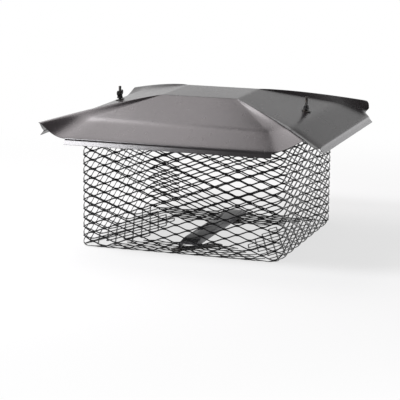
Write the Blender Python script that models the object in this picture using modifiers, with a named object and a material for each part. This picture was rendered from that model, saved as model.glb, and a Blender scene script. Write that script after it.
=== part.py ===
# Chimney cap for one square clay flue: a pitched sheet lid with a hip at each corner,
# bolted down on a cage folded from one strip of expanded metal, with a hold-down bar inside.
# Origin: centre of the cage on the plane that its bottom flange rests on. +X runs along a
# cage wall, +Z is up. Metres.
import bpy
import bmesh
from math import atan2, cos, pi, sin, sqrt, tan
from mathutils import Matrix, Vector

CLEARANCE = 0.0003

# Cage of expanded metal
CAGE_HALF = 0.1685
CAGE_HEIGHT = 0.2120
CAGE_CORNER_RADIUS = 0.025
FOLD_RADIUS = 0.004
FLANGE_DEPTH = 0.083
NET_SHEET = 0.0015
STRAND_WIDTH = 0.0032
COLUMNS_PER_SIDE = 6
WALL_ROWS = 8
FLANGE_ROWS = 3
RIM_STEPS = 3
SEAM_GAP = 0.0010

# Lid of pressed sheet
SHEET = 0.0008
PLATEAU_HALF = 0.063
CREASE_OVERHANG = 0.0115
CREASE_CORNER = 0.033
BEND_OVERHANG = 0.0601
BEND_CORNER = 0.0636
UPPER_DROP = 0.0276
LOWER_DROP = 0.0250
LIP_DROP = 0.0085
LIP_FLARE = 0.0056
TIP_INSET = 0.0136
TIP_DROP = 0.0326
CREASE_HALF = CAGE_HALF + CREASE_OVERHANG
CREASE_HALF_LENGTH = CREASE_HALF - CREASE_CORNER
BEND_HALF = CAGE_HALF + BEND_OVERHANG
BEND_HALF_LENGTH = BEND_HALF - BEND_CORNER
TIP_HALF = BEND_HALF - TIP_INSET
HIP_CROWN = 1.3
FLANK_HOLLOW = 1.8
PANEL_STEPS = 2
FLANK_STEPS = 4
PITCH_STEPS = 7

# Hook bolts, washers and wing nuts that hold the lid
ROD_RADIUS = 0.0024
ROD_GAP = 0.0036
ROD_STANDOUT = 0.0235
ROD_INSET = NET_SHEET + ROD_GAP + ROD_RADIUS
HOOK_BEND_RADIUS = 0.0045
HOOK_REACH = 0.0070
WASHER_SLACK = 0.0008
WASHER_RIM = 0.0043
WASHER_THICKNESS = 0.0012
WASHER_BORE = ROD_RADIUS + WASHER_SLACK
WASHER_RADIUS = WASHER_BORE + WASHER_RIM
HUB_WALL = 0.0026
HUB_TOP_WALL = 0.0014
HUB_HEIGHT = 0.0065
HUB_SKIRT = 0.0016
HUB_RADIUS = ROD_RADIUS + HUB_WALL
HUB_TOP_RADIUS = ROD_RADIUS + HUB_TOP_WALL
WING_SPAN = 0.0250
WING_RISE = 0.0135
WING_THICKNESS = 0.0018
WING_EAR_RADIUS = 0.0040
WING_ROOT_LIFT = 0.0008
WING_ROOT_DROP = 0.0010
WING_TURNS = {"left": 88.0, "right": 104.0}

# Hold-down bar and its foot plates
BAR_END_GAP = 0.031
BAR_WIDTH = 0.030
BAR_DEPTH = 0.0095
BAR_SHEET = 0.0016
BAR_BEND_RADIUS = 0.0025
BAR_OFFSET = 0.007
BAR_RISE = 0.0035
BAR_END_RUN = 0.030
BAR_END_STEPS = 4
BAR_LENGTH = 2 * (CAGE_HALF - BAR_END_GAP)
HOLE_COUNT = 3
HOLE_RADIUS = 0.0046
HOLE_EDGE = 0.0044
HOLE_PITCH = 0.041
HOLE_SHIFT = 0.011
HOLE_OFFSET = BAR_WIDTH / 2 - HOLE_EDGE - HOLE_RADIUS
FOOT_LENGTH = 0.090
FOOT_WIDTH = 0.022
FOOT_SHEET = 0.0016
FOOT_HOLE_RADIUS = 0.0035
FOOT_WALL_GAPS = {"front": 0.017, "rear": 0.009}
FOOT_SHIFTS = {"front": 0.0095, "rear": 0.0}
FOOT_TURNS = {"front": 45.0, "rear": 110.0}


def clear_scene():
    for item in list(bpy.data.objects):
        bpy.data.objects.remove(item, do_unlink=True)


def make_collection(name):
    collection = bpy.data.collections.new(name)
    bpy.context.scene.collection.children.link(collection)
    return collection


def make_material(name, color, roughness, metallic):
    material = bpy.data.materials.new(name)
    material.use_nodes = True
    shader = material.node_tree.nodes["Principled BSDF"]
    shader.inputs["Base Color"].default_value = (*color, 1.0)
    shader.inputs["Roughness"].default_value = roughness
    shader.inputs["Metallic"].default_value = metallic
    material.diffuse_color = (*color, 1.0)
    return material


def add_object(name, mesh, collection, material=None):
    item = bpy.data.objects.new(name, mesh)
    collection.objects.link(item)
    if material:
        mesh.materials.clear()
        mesh.materials.append(material)
    return item


def mesh_from(bm, name):
    mesh = bpy.data.meshes.new(name)
    bm.to_mesh(mesh)
    bm.free()
    return mesh


def mark_as_cutter(item):
    item.hide_render = True
    item.display_type = "WIRE"


def add_boolean(item, other, operation):
    step = item.modifiers.new(operation.title(), "BOOLEAN")
    step.operation = operation
    step.solver = "EXACT"
    step.object = other


def add_solidify(item, thickness):
    step = item.modifiers.new("Sheet", "SOLIDIFY")
    step.thickness = thickness
    step.offset = -1.0
    step.use_even_offset = True
    return step


def cylinder(name, radius, low, high, collection, segments=24):
    bm = bmesh.new()
    bmesh.ops.create_cone(bm, cap_ends=True, segments=segments, radius1=radius, radius2=radius, depth=high - low)
    bmesh.ops.translate(bm, verts=bm.verts, vec=(0.0, 0.0, (low + high) / 2))
    return add_object(name, mesh_from(bm, name), collection)


def evaluated_mesh(item, name):
    graph = bpy.context.evaluated_depsgraph_get()
    mesh = bpy.data.meshes.new_from_object(item.evaluated_get(graph))
    mesh.name = name
    return mesh


def curve_to_mesh_object(curve_item, name, collection, material=None):
    mesh = evaluated_mesh(curve_item, name)
    bm = bmesh.new()
    bm.from_mesh(mesh)
    bmesh.ops.remove_doubles(bm, verts=bm.verts, dist=0.00002)
    bm.to_mesh(mesh)
    bm.free()
    item = add_object(name, mesh, collection, material)
    item.matrix_world = curve_item.matrix_world.copy()
    bpy.data.objects.remove(curve_item, do_unlink=True)
    return item


def shade_smooth(item, angle):
    item.data.shade_smooth()
    item.data.set_sharp_from_angle(angle=angle)


# The cage is developed flat, as a strip of net, and then folded.
def developed_side():
    straight = 2 * (CAGE_HALF - CAGE_CORNER_RADIUS)
    return straight + CAGE_CORNER_RADIUS * pi / 2


def wall_run():
    return CAGE_HEIGHT - FOLD_RADIUS + FOLD_RADIUS * pi / 4 - STRAND_WIDTH / 2


def row_height(rows_up):
    if rows_up >= 0:
        return rows_up * wall_run() / WALL_ROWS
    return rows_up * FLANGE_DEPTH / FLANGE_ROWS


def distance_from_corner(along):
    side = developed_side()
    nearest = round(along / side) * side
    return abs(along - nearest)


def flat_net():
    """Diamonds from a grid: each cell gets a centre point, and its own edges are dissolved."""
    columns = 4 * COLUMNS_PER_SIDE
    rows = WALL_ROWS + FLANGE_ROWS
    seam = SEAM_GAP / 2 + STRAND_WIDTH / 2
    length = 4 * developed_side() - 2 * seam
    bm = bmesh.new()
    bmesh.ops.create_grid(bm, x_segments=columns, y_segments=rows, size=0.5)
    grid_edges = [edge for edge in bm.edges if not edge.is_boundary]
    bmesh.ops.poke(bm, faces=bm.faces)
    bmesh.ops.dissolve_edges(bm, edges=grid_edges, use_verts=False)
    for vert in bm.verts:
        rows_up = (vert.co.y + 0.5) * rows - FLANGE_ROWS
        vert.co = Vector((seam + (vert.co.x + 0.5) * length, row_height(rows_up), 0.0))
    trim_flange(bm)
    divide_rim(bm)
    return bm


def trim_flange(bm):
    """Notch the flange at each corner, and leave whole diamonds along its cut edges."""
    slack = STRAND_WIDTH
    doomed = []
    for face in bm.faces:
        below_fold = all(vert.co.y < slack for vert in face.verts)
        outside = any(distance_from_corner(vert.co.x) < -vert.co.y - slack for vert in face.verts)
        if below_fold and (outside or len(face.verts) == 3):
            doomed.append(face)
    bmesh.ops.delete(bm, geom=doomed, context="FACES")


def divide_rim(bm):
    """Short steps along the top rim, so that it follows the round corners."""
    slack = STRAND_WIDTH
    rim = [edge for edge in bm.edges if edge.is_boundary
           and all(vert.co.y > wall_run() - slack for vert in edge.verts)]
    bmesh.ops.subdivide_edges(bm, edges=rim, cuts=RIM_STEPS - 1)


def away_from_net(edge):
    """Flat direction square to an edge of the outline, pointing out of the net."""
    start, end = (vert.co for vert in edge.verts)
    square = Vector((end.y - start.y, start.x - end.x, 0.0)).normalized()
    inside = edge.link_faces[0].calc_center_median() - (start + end) / 2
    return -square if square.dot(inside) > 0 else square


def rim_moves(bm):
    """How far each vertex of the outline moves out for a margin one strand wide, with mitred turns."""
    moves = {}
    for vert in bm.verts:
        if vert.is_boundary:
            first, second = (away_from_net(edge) for edge in vert.link_edges if edge.is_boundary)
            middle = (first + second).normalized()
            moves[vert] = middle * (STRAND_WIDTH / middle.dot(first))
    return moves


def add_margin(bm):
    """A margin round the outline, so that the strands along the rim get their full width too."""
    moves = rim_moves(bm)
    rim = [edge for edge in bm.edges if edge.is_boundary]
    made = bmesh.ops.extrude_edge_only(bm, edges=rim)["geom"]
    for vert in made:
        if isinstance(vert, bmesh.types.BMVert):
            source = next(edge.other_vert(vert) for edge in vert.link_edges if edge.other_vert(vert) in moves)
            vert.co = source.co + moves[source]


def cut_diamonds(bm):
    """Widen each line of the flat grid to a strand, and open the diamonds between them."""
    lines = list(bm.edges)
    add_margin(bm)
    strands = bmesh.ops.bevel(bm, geom=lines, offset=STRAND_WIDTH / 2, offset_type="OFFSET",
                              segments=1, profile=0.5, affect="EDGES", loop_slide=True)["faces"]
    kept = set(strands)
    bmesh.ops.delete(bm, geom=[face for face in bm.faces if face not in kept], context="FACES")


def wall_plan(along):
    """Point and outward direction on the rounded square, from the middle of the rear left corner."""
    side = developed_side()
    sector = int(along // side) % 4
    run = along - (along // side) * side
    arc = CAGE_CORNER_RADIUS * pi / 4
    flat = CAGE_HALF - CAGE_CORNER_RADIUS
    if run < arc:
        turn = run / CAGE_CORNER_RADIUS - pi / 4
        centre = Vector((-flat, -flat))
    elif run > side - arc:
        turn = (run - side + arc) / CAGE_CORNER_RADIUS
        centre = Vector((flat, -flat))
    else:
        turn = 0.0
        centre = Vector((run - side / 2, -flat))
    outward = Vector((sin(turn), -cos(turn)))
    point = centre + outward * CAGE_CORNER_RADIUS
    facing = Matrix.Rotation((sector - 1) * pi / 2, 2)
    return facing @ point, facing @ outward


def fold_point(along, up):
    """Bend the flat strip: walls around the square, and the flange in under the cage."""
    point, outward = wall_plan(along)
    reach = FOLD_RADIUS * pi / 4
    if up > reach:
        inward, height = 0.0, FOLD_RADIUS + up - reach
    elif up > -reach:
        turn = (reach - up) / FOLD_RADIUS
        inward, height = FOLD_RADIUS * (1 - cos(turn)), FOLD_RADIUS * (1 - sin(turn))
    else:
        inward, height = FOLD_RADIUS - up - reach, 0.0
    plan = point - outward * inward
    return Vector((plan.x, plan.y, height))


def make_cage(collection, material):
    bm = flat_net()
    cut_diamonds(bm)
    for vert in bm.verts:
        vert.co = fold_point(vert.co.x, vert.co.y)
    bmesh.ops.triangulate(bm, faces=bm.faces)
    bmesh.ops.recalc_face_normals(bm, faces=bm.faces)
    lowest = min(bm.faces, key=lambda face: face.calc_center_median().z)
    if lowest.normal.z > 0:
        bmesh.ops.reverse_faces(bm, faces=bm.faces)
    cage = add_object("mesh_cage", mesh_from(bm, "mesh_cage"), collection, material)
    add_solidify(cage, NET_SHEET)
    return cage


# The lid is lofted in rings from its flat top out to the bend of its lip.
def panel_drop(out):
    """How far the middle of a lid panel lies under the flat top, at a distance from the centre."""
    if out <= PLATEAU_HALF:
        return 0.0
    if out <= CREASE_HALF:
        return UPPER_DROP * (out - PLATEAU_HALF) / (CREASE_HALF - PLATEAU_HALF)
    return UPPER_DROP + LOWER_DROP * (out - CREASE_HALF) / (BEND_HALF - CREASE_HALF)


def panel_slope(out):
    step = 0.0001
    return (panel_drop(out + step) - panel_drop(out - step)) / (2 * step)


def lid_top():
    """Height of the flat top that lets the panels rest on the rim of the cage."""
    sheet_rise = (SHEET + CLEARANCE) * sqrt(1 + panel_slope(CAGE_HALF) ** 2)
    return CAGE_HEIGHT + panel_drop(CAGE_HALF) + sheet_rise


def panel_height(out):
    return lid_top() - panel_drop(out)


def valley(pitch):
    """Where a flat panel meets the flank of a hip: out from the centre, and along the panel."""
    out = PLATEAU_HALF + (BEND_HALF - PLATEAU_HALF) * pitch
    if out <= CREASE_HALF:
        share = (out - PLATEAU_HALF) / (CREASE_HALF - PLATEAU_HALF)
        along = PLATEAU_HALF + (CREASE_HALF_LENGTH - PLATEAU_HALF) * share
    else:
        share = (out - CREASE_HALF) / (BEND_HALF - CREASE_HALF)
        along = CREASE_HALF_LENGTH + (BEND_HALF_LENGTH - CREASE_HALF_LENGTH) * share
    return Vector((along, -out, panel_height(out)))


def crest(pitch):
    diagonal = PLATEAU_HALF + (TIP_HALF - PLATEAU_HALF) * pitch
    return Vector((diagonal, -diagonal, lid_top() - TIP_DROP * pitch ** HIP_CROWN))


def flank(pitch, share):
    """A point between valley and crest, on a hollow that steepens towards the crest."""
    low, high = valley(pitch), crest(pitch)
    point = low.lerp(high, share)
    point.z = low.z + (high.z - low.z) * share ** FLANK_HOLLOW
    return point


def quarter_ring(pitch):
    """One side of a ring, from the middle of the front panel to the middle of the right one."""
    edge = valley(pitch)
    points = [Vector((edge.x * step / PANEL_STEPS, edge.y, edge.z)) for step in range(PANEL_STEPS)]
    points += [flank(pitch, step / FLANK_STEPS) for step in range(FLANK_STEPS + 1)]
    mirrored = [Vector((-point.y, -point.x, point.z)) for point in points[:-1]]
    return points + mirrored[:0:-1]


def ring(pitch):
    turns = [Matrix.Rotation(side * pi / 2, 3, "Z") for side in range(4)]
    return [turn @ point for turn in turns for point in quarter_ring(pitch)]


def ring_pitches():
    crease = (CREASE_HALF - PLATEAU_HALF) / (BEND_HALF - PLATEAU_HALF)
    inner = max(1, round(PITCH_STEPS * crease))
    outer = max(1, PITCH_STEPS - inner)
    upper = [crease * step / inner for step in range(inner + 1)]
    return upper + [crease + (1 - crease) * step / outer for step in range(1, outer + 1)]


def lid_surface():
    bm = bmesh.new()
    rings = [[bm.verts.new(point) for point in ring(pitch)] for pitch in ring_pitches()]
    bm.faces.new(rings[0])
    count = len(rings[0])
    for inner, outer in zip(rings, rings[1:]):
        for this in range(count):
            following = (this + 1) % count
            bm.faces.new((inner[this], outer[this], outer[following], inner[following]))
    bmesh.ops.remove_doubles(bm, verts=bm.verts, dist=0.0001)
    return bm


def turn_down_lips(bm):
    """Each straight edge of the lid is bent down and flared out a little."""
    slack = 0.0001
    for axis, sign in ((0, 1), (0, -1), (1, 1), (1, -1)):
        straight = [edge for edge in bm.edges if edge.is_boundary
                    and all(abs(vert.co[axis] * sign - BEND_HALF) < slack for vert in edge.verts)]
        made = bmesh.ops.extrude_edge_only(bm, edges=straight)["geom"]
        move = Vector((0.0, 0.0, -LIP_DROP))
        move[axis] = sign * LIP_FLARE
        bmesh.ops.translate(bm, verts=[part for part in made if isinstance(part, bmesh.types.BMVert)], vec=move)


def make_lid(collection, cutters, material):
    bm = lid_surface()
    turn_down_lips(bm)
    bmesh.ops.recalc_face_normals(bm, faces=bm.faces)
    highest = max(bm.faces, key=lambda face: face.calc_center_median().z)
    if highest.normal.z < 0:
        bmesh.ops.reverse_faces(bm, faces=bm.faces)
    lid = add_object("lid", mesh_from(bm, "lid"), collection, material)
    add_solidify(lid, SHEET)
    for side, sign in (("left", -1), ("right", 1)):
        hole = cylinder("lid_hole_" + side, ROD_RADIUS + 2 * CLEARANCE, -ROD_STANDOUT, ROD_STANDOUT, cutters)
        hole.location = (sign * rod_distance(), 0.0, seat_height())
        mark_as_cutter(hole)
        add_boolean(lid, hole, "DIFFERENCE")
    shade_smooth(lid, 0.35)
    return lid


# Each hook bolt hangs inside a side wall, and its foot turns out under the top strands.
def rod_distance():
    return CAGE_HALF - ROD_INSET


def seat_height():
    """Top of the lid sheet on the axis of a rod."""
    return panel_height(rod_distance())


def hook_height():
    """Axis of the hook's foot, just under the strands that slope down from a top node."""
    slope = atan2(wall_run() / WALL_ROWS, developed_side() / COLUMNS_PER_SIDE)
    drop = (STRAND_WIDTH / 2 + ROD_RADIUS + 2 * CLEARANCE) / cos(slope)
    return CAGE_HEIGHT - STRAND_WIDTH / 2 - drop


def make_hook_bolt(side, sign, collection, material):
    top = seat_height() + ROD_STANDOUT
    foot = hook_height()
    bend = [(HOOK_BEND_RADIUS * (1 - cos(turn)), HOOK_BEND_RADIUS * (1 - sin(turn)))
            for turn in (step * pi / 12 for step in range(7))]
    route = [(0.0, top)] + [(out, foot + up) for out, up in bend]
    route.append((ROD_INSET + HOOK_REACH, foot))
    curve = bpy.data.curves.new("hook_bolt_" + side, "CURVE")
    curve.dimensions = "3D"
    curve.bevel_depth = ROD_RADIUS
    curve.bevel_resolution = 2
    curve.use_fill_caps = True
    spline = curve.splines.new("POLY")
    spline.points.add(len(route) - 1)
    for point, (out, height) in zip(spline.points, route):
        point.co = (sign * (rod_distance() + out), 0.0, height, 1.0)
    guide = bpy.data.objects.new("hook_guide_" + side, curve)
    collection.objects.link(guide)
    bolt = curve_to_mesh_object(guide, "hook_bolt_" + side, collection, material)
    shade_smooth(bolt, 0.6)
    return bolt


def lid_tilt():
    return atan2(panel_slope(rod_distance()), 1.0)


def washer_lift():
    """Distance from the sheet to the middle of the washer, square to the sheet."""
    return CLEARANCE + WASHER_THICKNESS / 2


def turned(name, profile, collection, material=None, steps=32):
    """Spin a profile of (radius, height), listed from its top outer corner down, about Z."""
    bm = bmesh.new()
    verts = [bm.verts.new((radius, 0.0, height)) for radius, height in profile]
    for first, second in zip(verts, verts[1:]):
        bm.edges.new((first, second))
    item = add_object(name, mesh_from(bm, name), collection, material)
    step = item.modifiers.new("Turn", "SCREW")
    step.steps = steps
    step.render_steps = steps
    step.use_merge_vertices = True
    step.merge_threshold = 0.00001
    return item


def make_washer(side, sign, collection, material):
    half = WASHER_THICKNESS / 2
    profile = [(WASHER_BORE, half), (WASHER_RADIUS, half), (WASHER_RADIUS, -half),
               (WASHER_BORE, -half), (WASHER_BORE, half)]
    washer = turned("washer_" + side, profile, collection, material)
    lift = washer_lift()
    tilt = lid_tilt()
    washer.location = (sign * (rod_distance() + lift * sin(tilt)), 0.0, seat_height() + lift * cos(tilt))
    washer.rotation_euler.y = sign * tilt
    shade_smooth(washer, 0.6)
    return washer


def nut_height():
    """Foot of the wing nut: it clears the uphill rim of the tilted washer."""
    tilt = lid_tilt()
    top_of_washer = (washer_lift() + WASHER_THICKNESS / 2) / cos(tilt)
    return seat_height() + top_of_washer + HUB_RADIUS * tan(tilt) + CLEARANCE


def wing_outline():
    """One wing from inside the hub to its round ear, in the plane of the nut's axis."""
    out, up = WING_SPAN / 2 - WING_EAR_RADIUS, WING_RISE - WING_EAR_RADIUS
    arc = [(out + WING_EAR_RADIUS * cos(turn), up + WING_EAR_RADIUS * sin(turn))
           for turn in (-pi / 3 + step * pi / 6 for step in range(8))]
    root = HUB_TOP_RADIUS / 2
    return [(root, WING_ROOT_LIFT)] + arc + [(root, HUB_HEIGHT - WING_ROOT_DROP)]


def make_wing(name, collection):
    curve = bpy.data.curves.new(name, "CURVE")
    curve.dimensions = "2D"
    curve.fill_mode = "BOTH"
    curve.extrude = WING_THICKNESS / 2
    outline = wing_outline()
    spline = curve.splines.new("POLY")
    spline.points.add(len(outline) - 1)
    spline.use_cyclic_u = True
    for point, (out, up) in zip(spline.points, outline):
        point.co = (out, up, 0.0, 1.0)
    guide = bpy.data.objects.new(name + "_guide", curve)
    collection.objects.link(guide)
    wing = curve_to_mesh_object(guide, name, collection)
    wing.data.transform(Matrix.Rotation(pi / 2, 4, "X"))
    mark_as_cutter(wing)
    return wing


def make_wing_nut(side, sign, collection, cutters, material):
    profile = [(0.0, HUB_HEIGHT), (HUB_TOP_RADIUS, HUB_HEIGHT), (HUB_RADIUS, HUB_SKIRT),
               (HUB_RADIUS, 0.0), (0.0, 0.0)]
    nut = turned("wing_nut_" + side, profile, collection, material, steps=24)
    turn = Matrix.Rotation(WING_TURNS[side] * pi / 180, 4, "Z")
    place = Matrix.Translation((sign * rod_distance(), 0.0, nut_height()))
    nut.matrix_world = place @ turn
    for number, half_turn in enumerate((0.0, pi)):
        wing = make_wing("wing_%s_%d" % (side, number), cutters)
        wing.matrix_world = place @ turn @ Matrix.Rotation(half_turn, 4, "Z")
        add_boolean(nut, wing, "UNION")
    bore = cylinder("nut_bore_" + side, ROD_RADIUS + CLEARANCE, -HUB_HEIGHT, 2 * WING_RISE, cutters, 20)
    bore.matrix_world = place
    mark_as_cutter(bore)
    add_boolean(nut, bore, "DIFFERENCE")
    shade_smooth(nut, 0.6)
    return nut


# The hold-down bar is a channel laid open side down across two foot plates on the flange.
def foot_height():
    return NET_SHEET + CLEARANCE


def bar_height():
    return foot_height() + FOOT_SHEET + CLEARANCE


def bar_section():
    """Outer outline of the channel, from one lower edge over the web to the other."""
    half = BAR_WIDTH / 2
    flat = half - BAR_BEND_RADIUS
    shoulder = BAR_DEPTH - BAR_BEND_RADIUS
    bend = [(flat + BAR_BEND_RADIUS * sin(turn), shoulder + BAR_BEND_RADIUS * cos(turn))
            for turn in (step * pi / 8 for step in range(5))]
    right = bend + [(half, 0.0)]
    left = [(-out, up) for out, up in reversed(right)]
    return left + right


def bar_stations():
    """Places along the bar with their rise: both ends ease down to the feet in a half wave."""
    shares = [step / BAR_END_STEPS for step in range(BAR_END_STEPS + 1)]
    front = [(-BAR_LENGTH / 2 + BAR_END_RUN * share, BAR_RISE * (1 - cos(pi * share)) / 2) for share in shares]
    return front + [(-along, rise) for along, rise in reversed(front)]


def make_bar(collection, cutters, material):
    bm = bmesh.new()
    stations = bar_stations()
    along, rise = stations[0]
    start = [bm.verts.new((out, along, up + rise)) for out, up in bar_section()]
    edges = [bm.edges.new(pair) for pair in zip(start, start[1:])]
    for this, following in zip(stations, stations[1:]):
        made = bmesh.ops.extrude_edge_only(bm, edges=edges)["geom"]
        moved = [part for part in made if isinstance(part, bmesh.types.BMVert)]
        edges = [part for part in made if isinstance(part, bmesh.types.BMEdge)
                 and all(vert in moved for vert in part.verts)]
        step = (0.0, following[0] - this[0], following[1] - this[1])
        bmesh.ops.translate(bm, verts=moved, vec=step)
    bmesh.ops.recalc_face_normals(bm, faces=bm.faces)
    highest = max(bm.faces, key=lambda face: face.calc_center_median().z)
    if highest.normal.z < 0:
        bmesh.ops.reverse_faces(bm, faces=bm.faces)
    bar = add_object("hold_down_bar", mesh_from(bm, "hold_down_bar"), collection, material)
    bar.location = (BAR_OFFSET, 0.0, bar_height())
    add_solidify(bar, BAR_SHEET)
    for number in range(HOLE_COUNT):
        hole = cylinder("bar_hole_%d" % number, HOLE_RADIUS, 0.0, 2 * BAR_DEPTH + BAR_RISE, cutters)
        along = (number - (HOLE_COUNT - 1) / 2) * HOLE_PITCH - HOLE_SHIFT
        hole.location = (BAR_OFFSET - HOLE_OFFSET, along, bar_height())
        mark_as_cutter(hole)
        add_boolean(bar, hole, "DIFFERENCE")
    shade_smooth(bar, 0.5)
    return bar


def make_foot_plate(side, sign, collection, cutters, material):
    """A strip with round ends and a hole in each end, askew under one end of the bar."""
    radius = FOOT_WIDTH / 2
    reach = FOOT_LENGTH / 2 - radius
    arc = [(reach + radius * cos(turn), radius * sin(turn))
           for turn in (-pi / 2 + step * pi / 8 for step in range(9))]
    outline = arc + [(-out, -across) for out, across in arc]
    curve = bpy.data.curves.new("foot_plate_" + side, "CURVE")
    curve.dimensions = "2D"
    curve.fill_mode = "BOTH"
    curve.extrude = FOOT_SHEET / 2
    spline = curve.splines.new("POLY")
    spline.points.add(len(outline) - 1)
    spline.use_cyclic_u = True
    for point, (out, across) in zip(spline.points, outline):
        point.co = (out, across, 0.0, 1.0)
    guide = bpy.data.objects.new("foot_guide_" + side, curve)
    collection.objects.link(guide)
    plate = curve_to_mesh_object(guide, "foot_plate_" + side, collection, material)
    turn = FOOT_TURNS[side] * pi / 180
    along = sign * (CAGE_HALF - FOOT_WALL_GAPS[side] - radius - reach * abs(sin(turn)))
    centre = (BAR_OFFSET + FOOT_SHIFTS[side], along, foot_height() + FOOT_SHEET / 2)
    plate.matrix_world = Matrix.Translation(centre) @ Matrix.Rotation(turn, 4, "Z")
    for number, end in enumerate((-1, 1)):
        hole = cylinder("foot_hole_%s_%d" % (side, number), FOOT_HOLE_RADIUS, -FOOT_SHEET, FOOT_SHEET,
                        cutters, 16)
        hole.matrix_world = plate.matrix_world @ Matrix.Translation((end * reach, 0.0, 0.0))
        mark_as_cutter(hole)
        add_boolean(plate, hole, "DIFFERENCE")
    return plate


def build():
    clear_scene()
    cap = make_collection("chimney_cap")
    cutters = make_collection("cutters")
    lid_paint = make_material("lid_paint", (0.020, 0.020, 0.022), 0.38, 0.0)
    net_paint = make_material("net_paint", (0.012, 0.012, 0.013), 0.32, 0.0)
    bar_paint = make_material("bar_paint", (0.030, 0.030, 0.034), 0.42, 0.0)
    foot_paint = make_material("foot_paint", (0.045, 0.040, 0.038), 0.45, 0.0)
    bolt_steel = make_material("bolt_black", (0.025, 0.024, 0.024), 0.40, 0.6)
    nut_steel = make_material("nut_black", (0.020, 0.020, 0.021), 0.35, 0.6)
    make_cage(cap, net_paint)
    make_lid(cap, cutters, lid_paint)
    for side, sign in (("left", -1), ("right", 1)):
        make_hook_bolt(side, sign, cap, bolt_steel)
        make_washer(side, sign, cap, bolt_steel)
        make_wing_nut(side, sign, cap, cutters, nut_steel)
    make_bar(cap, cutters, bar_paint)
    for side, sign in (("front", -1), ("rear", 1)):
        make_foot_plate(side, sign, cap, cutters, foot_paint)


build()
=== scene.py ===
# %% [markdown]
# A square chimney cap in black painted steel. On the real object a pressed lid is bolted over a
# cage of expanded metal, and a hold-down bar lies inside on two foot plates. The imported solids
# give every place and size, so the first thing to do is to load them and keep their box.

# %% Load the fixed frame
from collections import namedtuple
from math import atan, cos, floor, pi, radians, sin, sqrt

import bmesh
import bpy
from mathutils import Matrix, Vector


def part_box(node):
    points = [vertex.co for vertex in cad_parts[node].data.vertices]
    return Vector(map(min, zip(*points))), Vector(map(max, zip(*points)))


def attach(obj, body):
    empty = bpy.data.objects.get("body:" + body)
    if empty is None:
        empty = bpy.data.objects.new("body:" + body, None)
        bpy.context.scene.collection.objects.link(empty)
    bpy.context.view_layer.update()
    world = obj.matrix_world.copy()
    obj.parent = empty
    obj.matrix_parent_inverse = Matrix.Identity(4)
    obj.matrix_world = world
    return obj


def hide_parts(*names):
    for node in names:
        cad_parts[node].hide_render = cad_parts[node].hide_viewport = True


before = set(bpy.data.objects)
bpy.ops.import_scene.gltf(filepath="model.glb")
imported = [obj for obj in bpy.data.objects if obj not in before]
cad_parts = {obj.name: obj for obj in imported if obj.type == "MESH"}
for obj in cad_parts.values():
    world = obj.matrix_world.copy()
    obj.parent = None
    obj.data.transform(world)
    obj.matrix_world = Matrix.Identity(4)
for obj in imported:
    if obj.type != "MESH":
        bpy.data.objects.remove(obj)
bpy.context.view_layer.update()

scene = bpy.context.scene
scene.view_settings.view_transform = "Standard"
print("frame:", len(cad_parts), "solids")

# %% [markdown]
# The cap was photographed from a little above and a little to the right of its front, with a long
# lens. A long lens keeps the far edge of the lid almost as wide as the near one. The camera is
# placed on a sphere round the middle of the cap, so its two angles stay readable, and it is
# rolled a little.

# %% Camera
AZIMUTH = radians(18.29)
ELEVATION = radians(11.72)
ROLL = radians(0.65)
CAMERA_DISTANCE = 2.8545
FOCAL_LENGTH = 154.96
AIM_HEIGHT = 0.1
AIM_LEFT = 0.0171
AIM_DOWN = 0.0432

right = Vector((cos(AZIMUTH), sin(AZIMUTH), 0.0))
back = Vector((sin(AZIMUTH) * cos(ELEVATION), -cos(AZIMUTH) * cos(ELEVATION), sin(ELEVATION)))
up = back.cross(right)
aim = Vector((0.0, 0.0, AIM_HEIGHT)) - AIM_LEFT * right - AIM_DOWN * up
camera_data = bpy.data.cameras.new("camera")
camera_data.lens = FOCAL_LENGTH
camera = bpy.data.objects.new("camera", camera_data)
scene.collection.objects.link(camera)
turn = Matrix((cos(ROLL) * right + sin(ROLL) * up, cos(ROLL) * up - sin(ROLL) * right, back))
camera.matrix_world = Matrix.Translation(aim + back * CAMERA_DISTANCE) @ turn.transposed().to_4x4()
scene.camera = camera
print("camera:", [round(value, 3) for value in camera.location])

# %% [markdown]
# Dark paint shows little colour of its own: what is seen on it is the room. A wide soft lamp
# hangs overhead, a little behind and to the left, so the panels that face it turn grey and those
# that look past it stay black. Two smaller ones further behind light the upper half of the front
# panel and the flank that rises from it to the near hip. A bright one in front is there for the
# flared lip, and a low one at the far right catches the net's right wall. The background is white
# for the camera. Shiny surfaces see it bright at the horizon and dim overhead, as in a studio
# with an unlit ceiling, and everything else gets only a little light from it.

# %% Lamps and background
LAMP_DISTANCE = 1.5
WARM = (1.0, 0.94, 0.955)
COOL = (0.98, 0.97, 1.0)
LAMPS = {
    "overhead": {"towards": (-0.43, 0.22, 0.88), "size": 0.80, "radiance": 4.0, "tint": WARM},
    "behind": {"towards": (-0.37, 0.58, 0.73), "size": 0.60, "radiance": 1.8, "tint": WARM},
    "window": {"towards": (-0.48, 0.50, 0.72), "size": 0.26, "radiance": 3.2, "tint": COOL},
    "front": {"towards": (-0.47, -0.40, 0.79), "size": 0.44, "radiance": 33.0, "tint": COOL},
    "far_right": {"towards": (0.36, 0.90, 0.24), "size": 0.50, "radiance": 1.0, "tint": COOL},
}
HORIZON_EDGE = 0.14
CEILING_EDGE = 0.48
HORIZON_GLOSS = 1.0
CEILING_GLOSS = 0.03
ROOM_LIGHT = 0.15


def add_node(tree, kind, settings=None, sockets=None):
    """Any node, with its settings first and then the values or links of its sockets."""
    node = tree.nodes.new(kind)
    for name, value in (settings or {}).items():
        setattr(node, name, value)
    for key, value in (sockets or {}).items():
        if isinstance(value, bpy.types.NodeSocket):
            tree.links.new(value, node.inputs[key])
        else:
            node.inputs[key].default_value = value
    return node


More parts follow.
